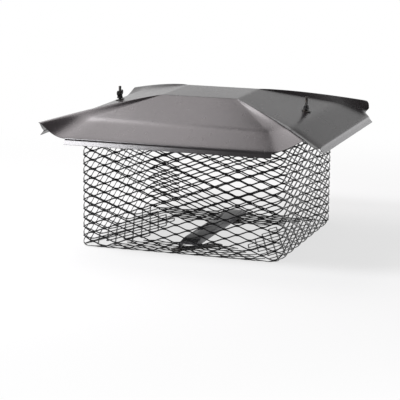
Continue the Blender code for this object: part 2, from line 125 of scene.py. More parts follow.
def soft_lamp(name, towards, size, radiance, tint):
    """A square lamp that faces the origin, as bright all over as the given radiance."""
    direction = Vector(towards).normalized()
    lamp = bpy.data.lights.new(name, "AREA")
    lamp.size = size
    lamp.energy = radiance * pi * size ** 2
    lamp.color = tint
    item = bpy.data.objects.new(name, lamp)
    facing = direction.to_track_quat("Z", "Y").to_matrix().to_4x4()
    item.matrix_world = Matrix.Translation(direction * LAMP_DISTANCE) @ facing
    item.visible_camera = False
    scene.collection.objects.link(item)


def light_room():
    """A white background that each kind of ray sees at its own brightness."""
    world = bpy.data.worlds.new("room")
    world.use_nodes = True
    tree = world.node_tree
    rays = add_node(tree, "ShaderNodeLightPath")
    place = add_node(tree, "ShaderNodeTexCoord")
    split = add_node(tree, "ShaderNodeSeparateXYZ", sockets={0: place.outputs["Generated"]})
    gloss = add_node(tree, "ShaderNodeMapRange", sockets={
        "Value": split.outputs["Z"], "From Min": HORIZON_EDGE, "From Max": CEILING_EDGE,
        "To Min": HORIZON_GLOSS, "To Max": CEILING_GLOSS})
    seen = add_node(tree, "ShaderNodeMath", {"operation": "MAXIMUM"}, {
        0: rays.outputs["Is Camera Ray"], 1: rays.outputs["Is Transmission Ray"]})
    shiny = add_node(tree, "ShaderNodeMix", sockets={
        "Factor": rays.outputs["Is Glossy Ray"], "A": ROOM_LIGHT, "B": gloss.outputs["Result"]})
    level = add_node(tree, "ShaderNodeMix", sockets={
        "Factor": seen.outputs[0], "A": shiny.outputs["Result"], "B": 1.0})
    tree.links.new(level.outputs["Result"], tree.nodes["Background"].inputs["Strength"])
    tree.nodes["Background"].inputs["Color"].default_value = (1.0, 1.0, 1.0, 1.0)
    scene.world = world


for name, lamp in LAMPS.items():
    soft_lamp(name, **lamp)
light_room()

# %% [markdown]
# Finishes are written as sums. A number that varies over a surface is wrapped in a small class,
# and arithmetic on it adds the Math nodes. Everything else, such as a noise or a bump, comes from
# one method that takes the node's type, its settings and what its sockets hold.

# %% Shader arithmetic
class Value:
    """A number that varies over a surface."""

    def __init__(self, tree, socket):
        self.tree = tree
        self.socket = socket

    def math(self, operation, *others):
        inputs = {place: socket_of(other) for place, other in enumerate(others)}
        node = add_node(self.tree, "ShaderNodeMath", {"operation": operation}, inputs)
        return Value(self.tree, node.outputs[0])

    def __add__(self, other):
        return self.math("ADD", self, other)

    __radd__ = __add__

    def __sub__(self, other):
        return self.math("SUBTRACT", self, other)

    def __rsub__(self, other):
        return self.math("SUBTRACT", other, self)

    def __mul__(self, other):
        return self.math("MULTIPLY", self, other)

    __rmul__ = __mul__

    def between(self, low, high):
        """0 below low, 1 above high, and a smooth rise from one to the other."""
        node = add_node(self.tree, "ShaderNodeMapRange", {"interpolation_type": "SMOOTHSTEP"},
                        {"Value": self.socket, "From Min": low, "From Max": high})
        return Value(self.tree, node.outputs["Result"])


def socket_of(value):
    """The socket behind a varying number, or anything else as it is."""
    return value.socket if isinstance(value, Value) else value


class Finish:
    """A painted or blackened surface, with a colour, a gloss and a relief of its own."""

    def __init__(self, name, gloss, metal=0.0):
        self.material = bpy.data.materials.new(name)
        self.material.use_nodes = True
        self.tree = self.material.node_tree
        self.shader = self.tree.nodes["Principled BSDF"]
        self.shader.inputs["Specular IOR Level"].default_value = gloss
        self.shader.inputs["Metallic"].default_value = metal
        self.place = self.node("ShaderNodeTexCoord").outputs["Object"]

    def node(self, kind, settings=None, sockets=None):
        plain = {key: socket_of(value) for key, value in (sockets or {}).items()}
        return add_node(self.tree, kind, settings, plain)

    def stretched(self, scale, turn):
        """The place on the surface, stretched along the axes and turned about Z."""
        node = self.node("ShaderNodeMapping", sockets={
            "Vector": self.place, "Scale": scale, "Rotation": (0.0, 0.0, turn)})
        return node.outputs[0]

    def cloud(self, grain, detail, place=None):
        """Noise whose grains are about as large as the given size, in metres."""
        node = self.node("ShaderNodeTexNoise", sockets={
            "Vector": place or self.place, "Scale": 1.0 / grain, "Detail": detail})
        return Value(self.tree, node.outputs["Fac"])

    def blend(self, amount, first, second):
        """Mix two colours, which are sockets 6 and 7 of the node."""
        node = self.node("ShaderNodeMix", {"data_type": "RGBA"}, {0: amount, 6: first, 7: second})
        return node.outputs[2]

    def relief(self, height, depth):
        node = self.node("ShaderNodeBump", sockets={"Height": height, "Distance": depth})
        return node.outputs[0]

    def finish(self, base, roughness, normal):
        for name, value in (("Base Color", base), ("Roughness", roughness), ("Normal", normal)):
            self.tree.links.new(socket_of(value), self.shader.inputs[name])
        return self.material


def color(red, green, blue):
    return (red, green, blue, 1.0)


print("shader arithmetic ready")

# %% [markdown]
# The lid is powder coated: a black, half-gloss skin with a fine orange peel, a little dust
# caught in it and thin scuffs from handling. The peel is relief, the dust is colour, and the
# gloss wanders slowly, because nothing sprayed is quite even.

# %% Lid paint
def make_lid_paint():
    paint = Finish("lid_paint", gloss=0.5)
    peel = paint.cloud(0.0016, detail=2.0)
    grain = paint.cloud(0.0004, detail=2.0)
    patches = paint.cloud(0.07, detail=4.0)
    dust = paint.cloud(0.0011, detail=1.0).between(0.70, 0.78)
    slanted = paint.stretched((1.0, 0.06, 1.0), radians(31))
    scuffs = paint.cloud(0.004, detail=4.0, place=slanted).between(0.66, 0.74)
    base = paint.blend(patches.between(0.35, 0.65), color(0.015, 0.013, 0.014), color(0.021, 0.018, 0.019))
    dusty = paint.blend(dust * 0.25, base, color(0.14, 0.13, 0.12))
    worn = paint.blend(scuffs * 0.12, dusty, color(0.09, 0.09, 0.09))
    rough = 0.21 + patches * 0.05 + grain * 0.05 + scuffs * 0.04
    relief = paint.relief(peel + grain * 0.3, 0.00006)
    return paint.finish(worn, rough, relief)


lid_paint = make_lid_paint()
print("finish:", lid_paint.name)

# %% [markdown]
# The cage was dipped, so its paint is blacker than the lid's and lies in soft runs. Where it is
# thin, a dull steel shows through here and there. Both are noise: a coarse one for the runs and
# the peaks of a finer one for the bare spots.

# %% Net paint
def make_net_paint():
    paint = Finish("net_paint", gloss=0.3)
    runs = paint.cloud(0.006, detail=3.0)
    grain = paint.cloud(0.0007, detail=2.0)
    bare = paint.cloud(0.0021, detail=3.0).between(0.66, 0.72)
    base = paint.blend(runs.between(0.3, 0.7), color(0.008, 0.008, 0.009), color(0.013, 0.013, 0.014))
    worn = paint.blend(bare * 0.35, base, color(0.07, 0.068, 0.066))
    rough = 0.26 + runs * 0.10 + bare * 0.10
    relief = paint.relief(runs + grain * 0.25, 0.00012)
    return paint.finish(worn, rough, relief)


net_paint = make_net_paint()
print("finish:", net_paint.name)

# %% [markdown]
# The hold-down bar is rolled strip with a thin satin coat. The rolling marks run along the bar,
# and the coat is scratched through in fine lines. It lies in the open, and its colours are paler
# than the lid's and than the dark coat itself: that is painted light, for the daylight its top
# catches. The foot plates are the same strip, darker and with a brownish bloom, and their marks
# run along each plate, so the finish takes the plate's angle.

# %% Strip paint
def make_strip_paint(name, dark, pale, bloom, turn=0.0):
    paint = Finish(name, gloss=0.5)
    along = paint.stretched((1.0, 0.05, 1.0), turn)
    askew = paint.stretched((1.0, 0.03, 1.0), turn + radians(7))
    marks = paint.cloud(0.0009, detail=3.0, place=along)
    patches = paint.cloud(0.014, detail=4.0)
    grain = paint.cloud(0.0005, detail=2.0)
    scratches = paint.cloud(0.0016, detail=3.0, place=askew).between(0.66, 0.70)
    base = paint.blend(patches.between(0.3, 0.7), dark, pale)
    bloomed = paint.blend(patches.between(0.52, 0.7) * 0.5, base, bloom)
    worn = paint.blend(scratches * 0.4, bloomed, color(0.15, 0.15, 0.15))
    rough = 0.22 + patches * 0.12 + marks * 0.08
    relief = paint.relief(marks + grain * 0.4, 0.00005)
    return paint.finish(worn, rough, relief)


# The bar's dark, pale and bloom colours are all paler than its coat: painted light for the daylight on its
# top.
bar_paint = make_strip_paint("bar_paint", color(0.110, 0.107, 0.123), color(0.175, 0.171, 0.195),
                             color(0.205, 0.199, 0.213))
print("finish:", bar_paint.name)

# %% [markdown]
# The bolts and wing nuts are blackened steel. The coat is thin enough that the metal under it
# gives sharp small highlights, and it has rubbed to a warm grey on the high places.

# %% Blackened steel
def make_blackened_steel(name, dark, rubbed, share):
    steel = Finish(name, gloss=0.5, metal=0.75)
    patches = steel.cloud(0.003, detail=3.0)
    grain = steel.cloud(0.0005, detail=3.0)
    rub = patches.between(0.62 - share, 0.72 - share)
    base = steel.blend(rub, dark, rubbed)
    rough = 0.30 + patches * 0.16
    relief = steel.relief(patches + grain * 0.5, 0.00005)
    return steel.finish(base, rough, relief)


bolt_black = make_blackened_steel("bolt_black", color(0.045, 0.042, 0.040),
                                  color(0.11, 0.095, 0.08), 0.06)
nut_black = make_blackened_steel("nut_black", color(0.035, 0.035, 0.036),
                                 color(0.09, 0.085, 0.08), 0.0)
print("finishes:", bolt_black.name, nut_black.name)

# %% [markdown]
# A few helpers turn a mesh in progress into a piece. A piece rides on the one body that the cap
# has, stands for the plain solid it replaces, which it hides, and carries its finish.

# %% Pieces
DRILL_LENGTH = 0.04
DRILL_AROUND = 48


def add_object(name, bm):
    mesh = bpy.data.meshes.new(name)
    bm.to_mesh(mesh)
    bm.free()
    item = bpy.data.objects.new(name, mesh)
    scene.collection.objects.link(item)
    return item


def settle(item):
    """Apply the modifiers, so that the mesh is the final shape in its final place."""
    mesh = bpy.data.meshes.new_from_object(item.evaluated_get(bpy.context.evaluated_depsgraph_get()))
    mesh.transform(item.matrix_world)
    item.modifiers.clear()
    item.data = mesh
    item.matrix_world = Matrix.Identity(4)


def make_piece(item, node, material, sharp_angle):
    item.data.materials.clear()
    item.data.materials.append(material)
    item.data.shade_smooth()
    item.data.set_sharp_from_angle(angle=radians(sharp_angle))
    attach(item, "root")
    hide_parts(node)
    print("%s: %d faces" % (item.name, len(item.data.polygons)))


def cut_out(item, cutters):
    """Take each cutter out of the piece, and remove the cutters."""
    for cutter in cutters:
        step = item.modifiers.new("cut", "BOOLEAN")
        step.operation = "DIFFERENCE"
        step.object = cutter
    settle(item)
    for cutter in cutters:
        bpy.data.objects.remove(cutter, do_unlink=True)


def drill(name, radius, place):
    """An upright cylinder to cut a hole with, its middle at the given place."""
    bm = bmesh.new()
    bmesh.ops.create_cone(bm, cap_ends=True, segments=DRILL_AROUND, radius1=radius, radius2=radius,
                          depth=DRILL_LENGTH)
    item = add_object(name, bm)
    item.matrix_world = Matrix.Translation(place)
    return item


def thicken(item, thickness, offset=-1.0, even=False):
    """Give an open sheet its thickness, behind its faces or, with offset 0, to both sides."""
    step = item.modifiers.new("sheet", "SOLIDIFY")
    step.thickness = thickness
    step.offset = offset
    step.use_even_offset = even


def face_up(bm):
    """Point the faces of an open sheet outwards, so that its highest face looks up."""
    bmesh.ops.recalc_face_normals(bm, faces=bm.faces)
    if max(bm.faces, key=lambda face: face.calc_center_median().z).normal.z < 0:
        bmesh.ops.reverse_faces(bm, faces=bm.faces)


print("helpers ready")

# %% [markdown]
# The lid is one pressed sheet. Its four flat panels fold down twice, and between them four hips
# rise out of hollow flanks and run out to open, arched corners. The press leaves no sharp fold:
# each bend is spread over a few millimetres. So the lid is lofted in rings, with every fold
# written as an eased corner, and the rings lie closer together where the sheet bends.

# %% Lid sizes
lid_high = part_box("lid")[1]
cage_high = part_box("mesh_cage")[1]
CAGE_HALF = cage_high.x
LID_TOP = lid_high.z
SHEET = 0.0008
LIP_FLARE = 0.0056
LIP_DROP = 0.0085
BEND_HALF = lid_high.x - LIP_FLARE
BEND_CORNER = 0.0636
BEND_HALF_LENGTH = BEND_HALF - BEND_CORNER
PLATEAU_HALF = 0.063
CREASE_OVERHANG = 0.0115
CREASE_CORNER = 0.033
CREASE_HALF = CAGE_HALF + CREASE_OVERHANG
CREASE_HALF_LENGTH = CREASE_HALF - CREASE_CORNER
TIP_INSET = 0.0136
TIP_HALF = BEND_HALF - TIP_INSET
UPPER_DROP = 0.0276
LOWER_DROP = 0.0250
TIP_DROP = 0.0326
HIP_CROWN = 1.3
UPPER_SLOPE = UPPER_DROP / (CREASE_HALF - PLATEAU_HALF)
LOWER_SLOPE = LOWER_DROP / (BEND_HALF - CREASE_HALF)
PLATEAU_EASE = 0.0040
CREASE_EASE = 0.0095
BEND_EASE = 0.0020
print("lid: %.0f mm wide, top at %.1f mm" % (2000 * lid_high.x, 1000 * LID_TOP))

# %% [markdown]
# No two hips of a pressed lid are quite alike, so each side names its left flank and its right
# one. A flank has five numbers: how hollow it is (1 is straight), how far its foot lies inside
# the usual end of the crease, how far the bend runs past its usual end, how widely the crest is
# rounded over it, and how high a small step beside the crest is. At the rear right corner the
# arch is also cut back in an S beside the lip, and its tip is rounded off. With the differences
# in numbers, one formula serves all eight flanks.

# %% Flanks of the hips
Flank = namedtuple("Flank", "hollow crease_in bend_out arch seam", defaults=(1.8, 0.0, 0.0, 0.0016, 0.0))
FLANKS = {
    "front": (Flank(2.2, crease_in=0.010, arch=0.0072),
              Flank(1.6, crease_in=0.004, bend_out=0.0045, seam=0.0012)),
    "right": (Flank(), Flank(1.0, crease_in=0.013)),
    "back": (Flank(), Flank()),
    "left": (Flank(), Flank(1.3, arch=0.0072)),
}
SEAM_SHARE = 0.98
SEAM_FADE = 0.030
NOTCH_DEPTH = 0.0070
NOTCH_RUN = 0.012
NOTCH_SHARE = 0.26
TIP_ROUNDING = 0.0035
TIP_SHARE = 0.75
print("flanks:", sum(len(pair) for pair in FLANKS.values()))

# %% Lid surface
PANEL_STEPS = 14
FLANK_STEPS = 16
FLANK_SPREAD = 1.6
RING_STEP = 0.0045


def eased(distance, corner, reach):
    """A ramp that starts at the corner, with its bend spread over the reach to each side."""
    rise = distance - corner
    if rise <= -reach:
        return 0.0
    if rise >= reach:
        return rise
    return (rise + reach) ** 2 / (4 * reach)


def panel_height(out):
    upper = UPPER_SLOPE * eased(out, PLATEAU_HALF, PLATEAU_EASE)
    lower = (LOWER_SLOPE - UPPER_SLOPE) * eased(out, CREASE_HALF, CREASE_EASE)
    return LID_TOP - upper - lower


def panel_half(out, flank):
    """Half the width of the flat part of a panel, towards the given flank."""
    crease_half = CREASE_HALF_LENGTH - flank.crease_in
    bend_half = BEND_HALF_LENGTH + flank.bend_out
    if out <= PLATEAU_HALF:
        return out
    if out <= CREASE_HALF:
        share = (out - PLATEAU_HALF) / (CREASE_HALF - PLATEAU_HALF)
        return PLATEAU_HALF + (crease_half - PLATEAU_HALF) * share
    share = (out - CREASE_HALF) / (BEND_HALF - CREASE_HALF)
    return crease_half + (bend_half - crease_half) * share


def crest(out):
    """The ridge of a hip: how far along each axis, and how high."""
    if out <= PLATEAU_HALF:
        return out, panel_height(out)
    pitch = (out - PLATEAU_HALF) / (BEND_HALF - PLATEAU_HALF)
    start = panel_height(PLATEAU_HALF)
    drop = (TIP_DROP - (LID_TOP - start)) * pitch ** HIP_CROWN
    return PLATEAU_HALF + (TIP_HALF - PLATEAU_HALF) * pitch, start - drop


def rounded_share(share, width, reach):
    """The share of the way up a flank, eased at the ridge so that two flanks meet in an arch."""
    round_off = min(reach, width / 3)
    away = width * (1 - share)
    whole = sqrt(width ** 2 + round_off ** 2)
    return (whole - sqrt(away ** 2 + round_off ** 2)) / (whole - round_off)


def notch(out, share):
    """How far the rear right corner's arch is cut back where the lip ends, and rounded at its tip."""
    reach = max(0.0, 1 - (BEND_HALF - out) / NOTCH_RUN)
    cut = NOTCH_DEPTH * max(0.0, 1 - abs(share / NOTCH_SHARE - 1))
    rounding = TIP_ROUNDING * max(0.0, (share - TIP_SHARE) / (1 - TIP_SHARE)) ** 2
    return cut * reach ** 2, rounding * reach ** 2


def lid_point(name, out, along, share):
    """A point of a side, as it lies at the front: along is 1 at the flat's end, share at the ridge."""
    side = 1 if along > 0 else -1
    flank = FLANKS[name][along > 0]
    low = Vector((panel_half(out, flank) * along, -out, panel_height(out)))
    if share == 0.0 or out <= PLATEAU_HALF:
        return low
    ridge, height = crest(out)
    high = Vector((ridge * side, -ridge, height))
    width = (high - low).xy.length
    point = low.lerp(high, share)
    point.z = low.z + (height - low.z) * rounded_share(share, width, flank.arch) ** flank.hollow
    if share < SEAM_SHARE:
        point.z -= flank.seam * min(1.0, width / SEAM_FADE) * share ** 2
    cut, rounding = notch(out, share)
    if name == "right" and side == 1:
        point.y += cut + rounding
    if name == "back" and side == -1:
        point.x += rounding
    return point


print("hip ends %.1f mm below the top" % (1000 * (LID_TOP - crest(BEND_HALF)[1])))

# %% Rings of the lid
def across_steps():
    """Places across one side of the lid, from ridge to ridge, as (along, share) pairs."""
    flank = [(1.0, 1 - (1 - step / FLANK_STEPS) ** FLANK_SPREAD) for step in range(FLANK_STEPS, 0, -1)]
    panel = [(2 * step / PANEL_STEPS - 1, 0.0) for step in range(PANEL_STEPS + 1)]
    return [(-along, share) for along, share in flank] + panel + flank[::-1]


def ring_places():
    """Distances from the centre at which rings lie, closer together at the bends."""
    places = [BEND_HALF - BEND_EASE * step / 2 for step in range(3)]
    for corner, reach in ((PLATEAU_HALF, PLATEAU_EASE), (CREASE_HALF, CREASE_EASE)):
        places += [corner + reach * step / 3 for step in range(-3, 4)]
    start = PLATEAU_HALF + PLATEAU_EASE
    for step in range(1, int((BEND_HALF - start) / RING_STEP)):
        place = start + step * RING_STEP
        if min(abs(place - other) for other in places) > RING_STEP / 2:
            places.append(place)
    return sorted(places)


print("lid rings:", len(ring_places()))

# %% [markdown]
# Along each straight edge the sheet is turned down, and after a short drop it flares out again
# in a flat lip. The front lip opens widest at its left end and stands steeper towards the right,
# so it changes from pale to dark along its length. The turn from panel to lip is a small curve,
# drawn with the usual three-point formula.

# %% Lid lips
LIP_DROP_FIRST = 0.25
LIP_SOFTNESS = 0.08
LIP_STEPS = 8
LIP_FADE = 6
LIP_BEND_SHARES = (0.75, 1.0)
LIP_OPENING = {"front": (1.0, 0.64), "right": (0.95, 0.95), "back": (0.9, 0.9), "left": (0.95, 0.95)}


def lip_point(side, along, share):
    """Out and up from the bend of a lip, at a share of its drop."""
    first, last = LIP_OPENING[side]
    opening = first + (last - first) * (along + 1) / 2
    flared = eased(share, LIP_DROP_FIRST, LIP_SOFTNESS) / (1 - LIP_DROP_FIRST)
    return Vector((LIP_FLARE * opening * flared, -LIP_DROP * share))


def bend_point(side, along, share):
    """Out and up from the sharp corner of the bend, on the small curve that rounds it."""
    start = Vector((-BEND_EASE, BEND_EASE * LOWER_SLOPE))
    end = lip_point(side, along, BEND_EASE / LIP_DROP)
    return start * (1 - share) ** 2 + end * share ** 2


def lid_ring(bm, side, out, turn):
    """One row of a side's vertices, moved on to the curve where the bend of the lip is rounded."""
    row = []
    for along, share in across_steps():
        point = lid_point(side, out, along, share)
        rounding = (out - BEND_HALF) / (2 * BEND_EASE) + 0.5
        fade = max(0.0, 1 - LIP_FADE * share)
        if rounding > 0.0 and fade > 0.0:
            bend = bend_point(side, along, rounding)
            point.y -= (bend.x - (out - BEND_HALF)) * fade
            point.z += (bend.y + (out - BEND_HALF) * LOWER_SLOPE) * fade
        row.append(bm.verts.new(turn @ point))
    return row


def lip_row(bm, side, offset, turn):
    """One row of the lip, below the straight part of the edge."""
    height = panel_height(BEND_HALF)
    row = []
    for along, share in across_steps():
        if share == 0.0:
            half = panel_half(BEND_HALF, FLANKS[side][along > 0])
            step = offset(side, along)
            row.append(bm.verts.new(turn @ Vector((half * along, -BEND_HALF - step.x, height + step.y))))
    return row


def lip_offsets():
    """The rows of the lip: two on the rounded bend, then down to the flared foot."""
    rows = [lambda side, along, share=share: bend_point(side, along, share)
            for share in LIP_BEND_SHARES]
    start = BEND_EASE / LIP_DROP
    for step in range(1, LIP_STEPS + 1):
        share = start + (1 - start) * step / LIP_STEPS
        rows.append(lambda side, along, share=share: lip_point(side, along, share))
    return rows


print("lip rows:", len(lip_offsets()))

# %% Lid sheet
MERGE_REACH = 0.00002
BOLT_SLACK = 0.0006


def join_rows(bm, first, second):
    for one, other, far, near in zip(first, first[1:], second[1:], second):
        bm.faces.new((one, near, far, other))


def lid_side(bm, side, turn):
    rows = [lid_ring(bm, side, out, turn) for out in ring_places()]
    for inner, outer in zip(rows, rows[1:]):
        join_rows(bm, inner, outer)
    above = rows[-1][FLANK_STEPS:-FLANK_STEPS]
    for offset in lip_offsets():
        below = lip_row(bm, side, offset, turn)
        join_rows(bm, above, below)
        above = below


def close_top(bm):
    """Fill the square that the innermost rings of the four sides leave open."""
    rim = [edge for edge in bm.edges if edge.is_boundary
           and all(abs(vert.co.z - LID_TOP) < SHEET / 2 for vert in edge.verts)]
    bmesh.ops.holes_fill(bm, edges=rim, sides=0)


def bolt_drill(node):
    """A drill on the axis of a hook bolt, a little wider than its rod."""
    low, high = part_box(node)
    reach = (high.y - low.y) / 2
    axis = low.x + reach if low.x > 0 else high.x - reach
    return drill("hole_" + node, reach + BOLT_SLACK, Vector((axis, 0.0, panel_height(abs(axis)))))


def make_lid():
    bm = bmesh.new()
    for number, side in enumerate(FLANKS):
        lid_side(bm, side, Matrix.Rotation(number * pi / 2, 3, "Z"))
    bmesh.ops.remove_doubles(bm, verts=bm.verts, dist=MERGE_REACH)
    close_top(bm)
    face_up(bm)
    lid = add_object("lid_sheet", bm)
    thicken(lid, SHEET, even=True)
    cut_out(lid, [bolt_drill("hook_bolt_" + side) for side in ("left", "right")])
    make_piece(lid, "lid", lid_paint, sharp_angle=40)


make_lid()

# %% [markdown]
# Expanded metal is slit and pulled, not woven. Each row between two lines of slits becomes a
# zigzag ribbon that is bonded in turn to the ribbon above and to the one below, and the pull
# tips the ribbon, so its faces lean up and out. The pattern is laid out flat, ribbon by ribbon,
# as an open sheet whose ribbons share the vertices of their bonds. Then it is folded into the
# cage and given its thickness, which keeps every joint of the net whole. The strip was folded
# by hand: its pattern slips a little from wall to wall, and its first end laps inside its last.

# %% Net sizes
NET_SHEET = 0.0010
STRAND_WIDTH = 0.0018
BOND_LENGTH = 0.0048
SHORT_WAY = 0.01469
DIAMONDS_PER_SIDE = 8
WALL_TILT = radians(24)
FLANGE_TILT = radians(6)
NET_INSET = 0.0021
FLANGE_LEVEL = 0.0009
CAGE_CORNER = 0.025
CORNER_RADIUS = CAGE_CORNER - NET_INSET
FOLD_RADIUS = 0.0035
FIRST_ROW = 0.0001
WALL_RIBBONS = 29
FLANGE_RIBBONS = 11
TOP_TRIM = 0.0002
TOP_CUT = cage_high.z - TOP_TRIM
SEAM_GAP = 0.0010
LAP_COLUMNS = 3
LAP_LENGTH = 0.050
LAP_INSET = 0.0026
LAP_EASE = 0.035
NET_HALF = CAGE_HALF - NET_INSET
SIDE_RUN = 2 * (NET_HALF - CORNER_RADIUS) + CORNER_RADIUS * pi / 2
STEPS_ROUND = 8 * DIAMONDS_PER_SIDE
LONG_STEP = SIDE_RUN / (2 * DIAMONDS_PER_SIDE)
ROW_STEP = SHORT_WAY / 2
print("diamonds: %.1f by %.1f mm" % (2000 * LONG_STEP, 1000 * SHORT_WAY))

# %% Folding the net
TILT_START = -0.002
TILT_RUN = 0.012


def around(run):
    """Point and outward direction on the rounded square, from the middle of the rear left corner."""
    side = floor(run / SIDE_RUN)
    along = run - side * SIDE_RUN
    arc = CORNER_RADIUS * pi / 4
    flat = NET_HALF - CORNER_RADIUS
    if along < arc:
        turn, centre = along / CORNER_RADIUS - pi / 4, Vector((-flat, -flat))
    elif along > SIDE_RUN - arc:
        turn, centre = (along - SIDE_RUN + arc) / CORNER_RADIUS, Vector((flat, -flat))
    else:
        turn, centre = 0.0, Vector((along - SIDE_RUN / 2, -flat))
    outward = Vector((sin(turn), -cos(turn)))
    facing = Matrix.Rotation((side - 1) * pi / 2, 2)
    return facing @ (centre + outward * CORNER_RADIUS), facing @ outward


def fold(run, rise, depth):
    """Take a point of the flat net to its place: the walls stand, the flange is turned in."""
    point, outward = around(run)
    reach = FOLD_RADIUS * pi / 4
    turn = min(pi / 2, max(0.0, (reach - rise) / FOLD_RADIUS))
    inward = FOLD_RADIUS * (1 - cos(turn)) + max(0.0, -reach - rise) - depth * cos(turn)
    height = FLANGE_LEVEL + FOLD_RADIUS * (1 - sin(turn)) + max(0.0, rise - reach) - depth * sin(turn)
    place = point - outward * inward
    return Vector((place.x, place.y, height))


def tilt(rise):
    """The ribbons lean on the walls, and lie almost flat where the flange was pressed down."""
    share = min(1.0, max(0.0, (rise - TILT_START) / TILT_RUN))
    return FLANGE_TILT + (WALL_TILT - FLANGE_TILT) * share


print("round the cage: %.0f mm" % (4000 * SIDE_RUN))

# %% Ribbons of the net
SLOPE_STEPS = ((0.15, 0.1), (0.5, 0.5), (0.85, 0.9))
NOTCH_ROOM = 0.4
KEYS_PER_STEP = 100
SLIPS = (
    (-0.20, (-0.0055, 0.0004)), (0.5, (-0.0030, 0.0004)), (1.5, (-0.0023, 0.0018)),
    (2.5, (-0.0030, 0.0007)), (3.5, (0.0034, -0.0020)), (4.0, (0.0, -0.0020)),
)


def row_rise(row):
    return FIRST_ROW + row * ROW_STEP


def slip(run):
    """How far the pattern has slipped along and up, at a place given in walls from the seam."""
    wall = run / SIDE_RUN
    for (first, before), (last, after) in zip(SLIPS, SLIPS[1:]):
        if wall <= last:
            return Vector(before).lerp(Vector(after), (wall - first) / (last - first))
    return Vector(SLIPS[-1][1])


def lap(run):
    """How far the first end of the strip lies inside the last one."""
    share = min(1.0, max(0.0, 1 - run / LAP_EASE))
    return LAP_INSET * share ** 2 * (3 - 2 * share)


def half_step():
    """Stations from one bond to the next: how far along, and how much of the climb is done."""
    bond = BOND_LENGTH / 2
    slope = LONG_STEP - BOND_LENGTH
    middle = [(bond + slope * run, climb) for run, climb in SLOPE_STEPS]
    return [(0.0, 0.0), (bond, 0.0)] + middle + [(LONG_STEP - bond, 1.0), (LONG_STEP, 1.0)]


def steepness(stations, number):
    """How much taller a level cut through the ribbon is than on the flat of a bond."""
    before, after = stations[max(0, number - 1)], stations[min(len(stations) - 1, number + 1)]
    climb = (ROW_STEP - STRAND_WIDTH) * (after[1] - before[1])
    return sqrt(1 + (climb / (after[0] - before[0])) ** 2) if 0.0 < stations[number][1] < 1.0 else 1.0


def ribbon_edges(row, climb, stretch):
    """Rise and depth of the lower and the upper edge of a ribbon, at a share of its climb."""
    lean = tilt(row_rise(row))
    tall, deep = STRAND_WIDTH * cos(lean), STRAND_WIDTH * sin(lean)
    centre = row_rise(row) + tall / 2 + (ROW_STEP - tall) * climb
    centre_depth = deep * (climb - 0.5)
    half = tall / 2 * stretch
    return (centre - half, centre_depth + deep / 2), (centre + half, centre_depth - deep / 2)


def belongs(row, column):
    """The flange is notched at each corner, along whole bonds, and has no lap."""
    if row >= 0 or column < 0:
        return row >= 0
    from_corner = min(abs((end * LONG_STEP) - round(end * LONG_STEP / SIDE_RUN) * SIDE_RUN)
                      for end in (column, column + 1))
    return from_corner > -row_rise(row) - LONG_STEP * NOTCH_ROOM


def ribbon_stations(row, column):
    """The stations of half a diamond, each with a key that tells which vertices are shared."""
    rising = (row + column) % 2 == 0
    stations = half_step()
    for number, (run, climb) in enumerate(stations):
        share = climb if rising else 1.0 - climb
        stretch = steepness(stations, number)
        lower, upper = ribbon_edges(row, share, stretch)
        place = column * LONG_STEP + run
        position = round(place / (LONG_STEP / KEYS_PER_STEP))
        lower_key = ("bond", row, position) if share == 0.0 else ("low", row, position)
        upper_key = ("bond", row + 1, position) if share == 1.0 else ("high", row, position)
        yield place, (lower_key, lower), (upper_key, upper)


def net_vertex(bm, made, key, run, rise, depth):
    if key not in made:
        along, above = slip(run)
        place = min(run + along, 4 * SIDE_RUN - SEAM_GAP / 2)
        made[key] = bm.verts.new(fold(place, rise + above, depth - lap(run)))
    return made[key]


print("stations in half a diamond:", len(half_step()))

# %% Folded net
def make_net():
    bm = bmesh.new()
    made = {}
    for row in range(-FLANGE_RIBBONS, WALL_RIBBONS):
        for column in range(-LAP_COLUMNS, STEPS_ROUND):
            if belongs(row, column):
                pairs = [[net_vertex(bm, made, key, run, *place) for key, place in edges]
                         for run, *edges in ribbon_stations(row, column) if run >= -LAP_LENGTH]
                for (low, high), (next_low, next_high) in zip(pairs, pairs[1:]):
                    bm.faces.new((low, next_low, next_high, high))
    everything = bm.verts[:] + bm.edges[:] + bm.faces[:]
    bmesh.ops.bisect_plane(bm, geom=everything, plane_co=(0.0, 0.0, TOP_CUT), plane_no=(0.0, 0.0, 1.0),
                           clear_outer=True)
    net = add_object("cage_net", bm)
    thicken(net, NET_SHEET, offset=0.0)
    settle(net)
    make_piece(net, "mesh_cage", net_paint, sharp_angle=35)


make_net()

# %% [markdown]
# Each hook bolt is a rod with a rolled thread. It hangs inside a side wall and its foot turns out
# under a strand of the net, so that the wing nut above pulls the lid down on the cage. The rod is
# swept ring by ring along its route, and the radius of each ring follows the helix of the thread.

# %% Hook bolts
ROD_RADIUS = 0.0024
THREAD_PITCH = 0.00106
THREAD_DEPTH = 0.00045
HOOK_BEND = 0.0045
HOOK_DROP = 0.0029
HOOK_BEND_STEPS = 8
HOOK_FOOT_STEPS = 4
ROD_AROUND = 24
ROD_CHAMFER = 0.0004
STEPS_PER_THREAD = 6
THREAD_RUNOUT = 3


def rod_axis(node):
    """Side of the cage (-1 or 1), distance from the centre, top, foot and the foot's reach."""
    low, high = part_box(node)
    side = 1 if low.x > 0 else -1
    near = min(abs(low.x), abs(high.x))
    wall_middle = SIDE_RUN * (1.5 + side)
    foot = low.z + ROD_RADIUS - HOOK_DROP + slip(wall_middle).y
    return side, near + ROD_RADIUS, high.z, foot, max(abs(low.x), abs(high.x))


